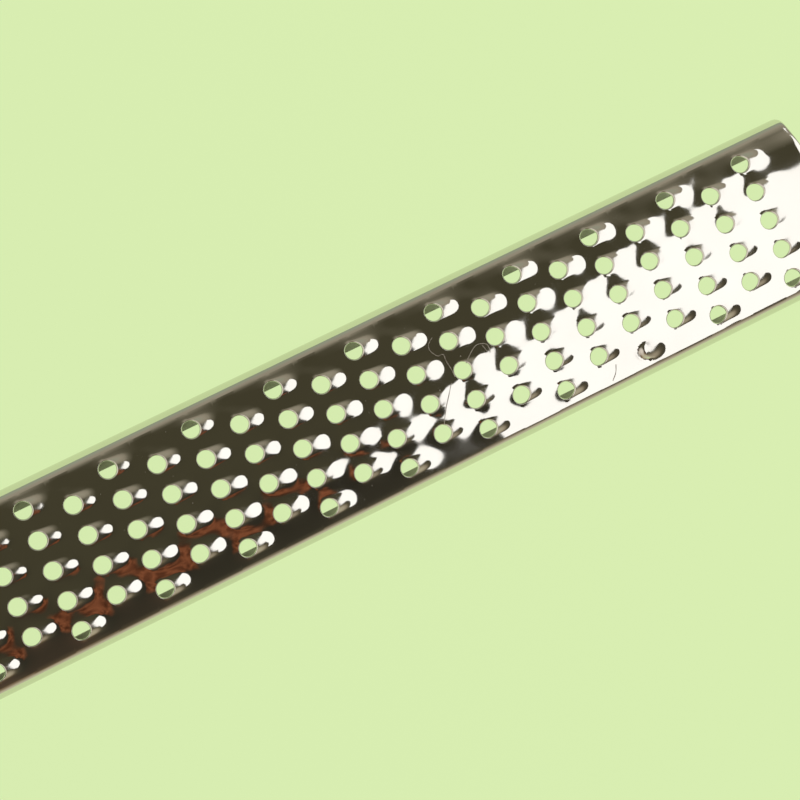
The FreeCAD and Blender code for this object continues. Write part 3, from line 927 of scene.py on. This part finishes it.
# Colours of the room by the upward share of a direction, from the horizon to straight up.
DARK_CEILING = (0.067, 0.060, 0.034)
FAR_SIDE = (
    (0.00, (0.33, 0.38, 0.27)),
    (0.26, (0.36, 0.37, 0.28)),
    (0.44, (0.37, 0.33, 0.25)),
    (0.60, (0.30, 0.27, 0.20)),
    (0.72, (0.16, 0.145, 0.10)),
    (0.84, DARK_CEILING),
    (1.00, DARK_CEILING),
)
NEAR_LEFT = (
    (0.00, (0.62, 0.62, 0.44)),
    (0.14, (0.58, 0.54, 0.38)),
    (0.28, (0.47, 0.38, 0.25)),
    (0.40, (0.20, 0.125, 0.065)),
    (0.50, (0.13, 0.090, 0.050)),
    (0.70, (0.085, 0.055, 0.036)),
    (0.88, (0.050, 0.038, 0.024)),
    (1.00, DARK_CEILING),
)
NEAR_RIGHT = (
    (0.00, (0.62, 0.62, 0.44)),
    (0.14, (0.58, 0.54, 0.38)),
    (0.28, (0.40, 0.34, 0.24)),
    (0.40, (0.125, 0.105, 0.065)),
    (0.50, (0.075, 0.066, 0.042)),
    (0.70, (0.046, 0.041, 0.027)),
    (0.88, (0.030, 0.027, 0.018)),
    (1.00, DARK_CEILING),
)
LEFT_WALL = (0.86, 0.78, 0.68, 1)

# Where one part of the room passes into the next, by a direction's share along X or Y.
LEFT_TO_RIGHT = (-0.03, 0.11)
NEAR_TO_FAR = (-0.25, 0.25)
ROOM_TO_WALL = (-0.45, -0.80)

CAMERA_AT = (-27.64, 25.42, 459.0)
CAMERA_RIGHT = (0.878, -0.4285, 0.213)
CAMERA_BACK = (-0.210, 0.0547, 0.976)
CAMERA_LENS = 112.5
CAMERA_SENSOR = 36
CAMERA_CLIP = 10.0


def stage_mesh(name, points, faces, material):
    """A thing of the room, from points in millimetres."""
    mesh = bpy.data.meshes.new(name)
    mesh.from_pydata([tuple(p) for p in np.asarray(points, float) * MM], [], faces)
    mesh.materials.append(material)
    item = bpy.data.objects.new(name, mesh)
    bpy.context.scene.collection.objects.link(item)
    return item


def floor_material():
    """Pale green, and see-through from below, so that the underside can be looked at."""
    material, tree, surface = bare_material("floor_look")
    lit = add(tree, "ShaderNodeBsdfDiffuse", {"Color": FLOOR_COLOR})
    glow = add(tree, "ShaderNodeEmission", {"Color": FLOOR_COLOR, "Strength": FLOOR_GLOW})
    clear = add(tree, "ShaderNodeBsdfTransparent")
    ray = add(tree, "ShaderNodeLightPath").outputs
    seen = math_node(tree, "MAXIMUM", ray["Is Camera Ray"], ray["Is Glossy Ray"])
    share = math_node(tree, "MULTIPLY", seen, FLOOR_GLOW_SHARE)
    above = between_shaders(tree, share, lit.outputs[0], glow.outputs[0])
    below = add(tree, "ShaderNodeNewGeometry").outputs["Backfacing"]
    tree.links.new(between_shaders(tree, below, above, clear.outputs[0]), surface)
    return material


def make_floor():
    """A wide floor, a hair under the grater."""
    signs = ((-1, -1), (1, -1), (1, 1), (-1, 1))
    points = [(FLOOR_HALF * x, FLOOR_HALF * y, FLOOR_Z) for x, y in signs]
    stage_mesh("floor", points, [(0, 1, 2, 3)], floor_material())


def add_card(name, corners, color, strength, soft=0.0):
    """A lit card over the table, unseen by the camera, with the colour of what it stands for.

    A soft card fades out over that share of its size and is unevenly lit.
    """
    material, tree, surface = bare_material(name + "_look")
    glow = add(tree, "ShaderNodeEmission", {"Color": (*color, 1), "Strength": strength})
    lit = glow.outputs[0]
    corners = np.array(corners, float)
    count = len(corners)
    shell = [tuple(range(count))]
    if soft:
        patches = noise(tree, place_of(tree), CARD_PATCHES)
        low, high = (share * strength for share in CARD_UNEVEN)
        tree.links.new(ranged(tree, patches, *CARD_CONTRAST, low, high), glow.inputs["Strength"])
        clear = add(tree, "ShaderNodeBsdfTransparent").outputs[0]
        lit = between_shaders(tree, attribute(tree, "share"), clear, lit)
        middle = corners.mean(axis=0)
        corners = np.vstack([corners, middle + (corners - middle) * (1 - soft)])
        shell = [tuple(range(count, 2 * count))]
        shell += [(i, (i + 1) % count, count + (i + 1) % count, count + i) for i in range(count)]
    tree.links.new(lit, surface)
    flat = corners[:, :1] * ACROSS_PICTURE + corners[:, 1:] * UP_PICTURE
    points = np.column_stack([flat, np.full(len(flat), CARD_HEIGHT)])
    item = stage_mesh(name, points, shell, material)
    put_values(item.data, "share", np.arange(len(points)) >= count)
    item.visible_camera = False


def ramp_of(tree, value, stops):
    """A colour that follows a value through the given stops."""
    ramp = add(tree, "ShaderNodeValToRGB", {0: value})
    points = ramp.color_ramp.elements
    for point, (position, color) in zip(points, (stops[0], stops[-1])):
        point.position = position
        point.color = (*color, 1)
    for position, color in stops[1:-1]:
        points.new(position).color = (*color, 1)
    return ramp.outputs[0]


def make_world():
    """A dim room: dark overhead, lighter round the horizon, and a brighter wall to the left."""
    world = bpy.data.worlds.new("studio")
    bpy.context.scene.world = world
    world.use_nodes = True
    tree = world.node_tree
    way = add(tree, "ShaderNodeTexCoord").outputs["Generated"]
    x, y, z = add(tree, "ShaderNodeSeparateXYZ", {0: way}).outputs
    far, near_left, near_right = (ramp_of(tree, z, stops) for stops in (FAR_SIDE, NEAR_LEFT, NEAR_RIGHT))
    near = between_colors(tree, ranged(tree, x, *LEFT_TO_RIGHT), near_left, near_right)
    room = between_colors(tree, ranged(tree, y, *NEAR_TO_FAR), near, far)
    room = between_colors(tree, ranged(tree, x, *ROOM_TO_WALL), room, LEFT_WALL)
    back = tree.nodes["Background"]
    tree.links.new(room, back.inputs["Color"])
    back.inputs["Strength"].default_value = 1.0


def make_camera():
    """A long lens over the table, at the photo's angle."""
    data = bpy.data.cameras.new("camera")
    data.sensor_width = CAMERA_SENSOR
    data.lens = CAMERA_LENS
    data.clip_start = CAMERA_CLIP * MM
    camera = bpy.data.objects.new("camera", data)
    back = Vector(CAMERA_BACK).normalized()
    up = back.cross(Vector(CAMERA_RIGHT).normalized()).normalized()
    turn = Matrix((up.cross(back), up, back)).transposed().to_4x4()
    camera.matrix_world = Matrix.Translation(Vector(CAMERA_AT) * MM) @ turn
    bpy.context.scene.collection.objects.link(camera)
    bpy.context.scene.camera = camera


make_floor()
make_world()
add_card("softbox", SOFTBOX, color=(1.0, 0.985, 0.955), strength=1.37)
add_card("copper_pan", COPPER_PAN, color=(0.190, 0.064, 0.028), strength=1.0, soft=0.34)
make_camera()
bpy.context.scene.view_settings.view_transform = "Standard"

bpy.context.view_layer.update()
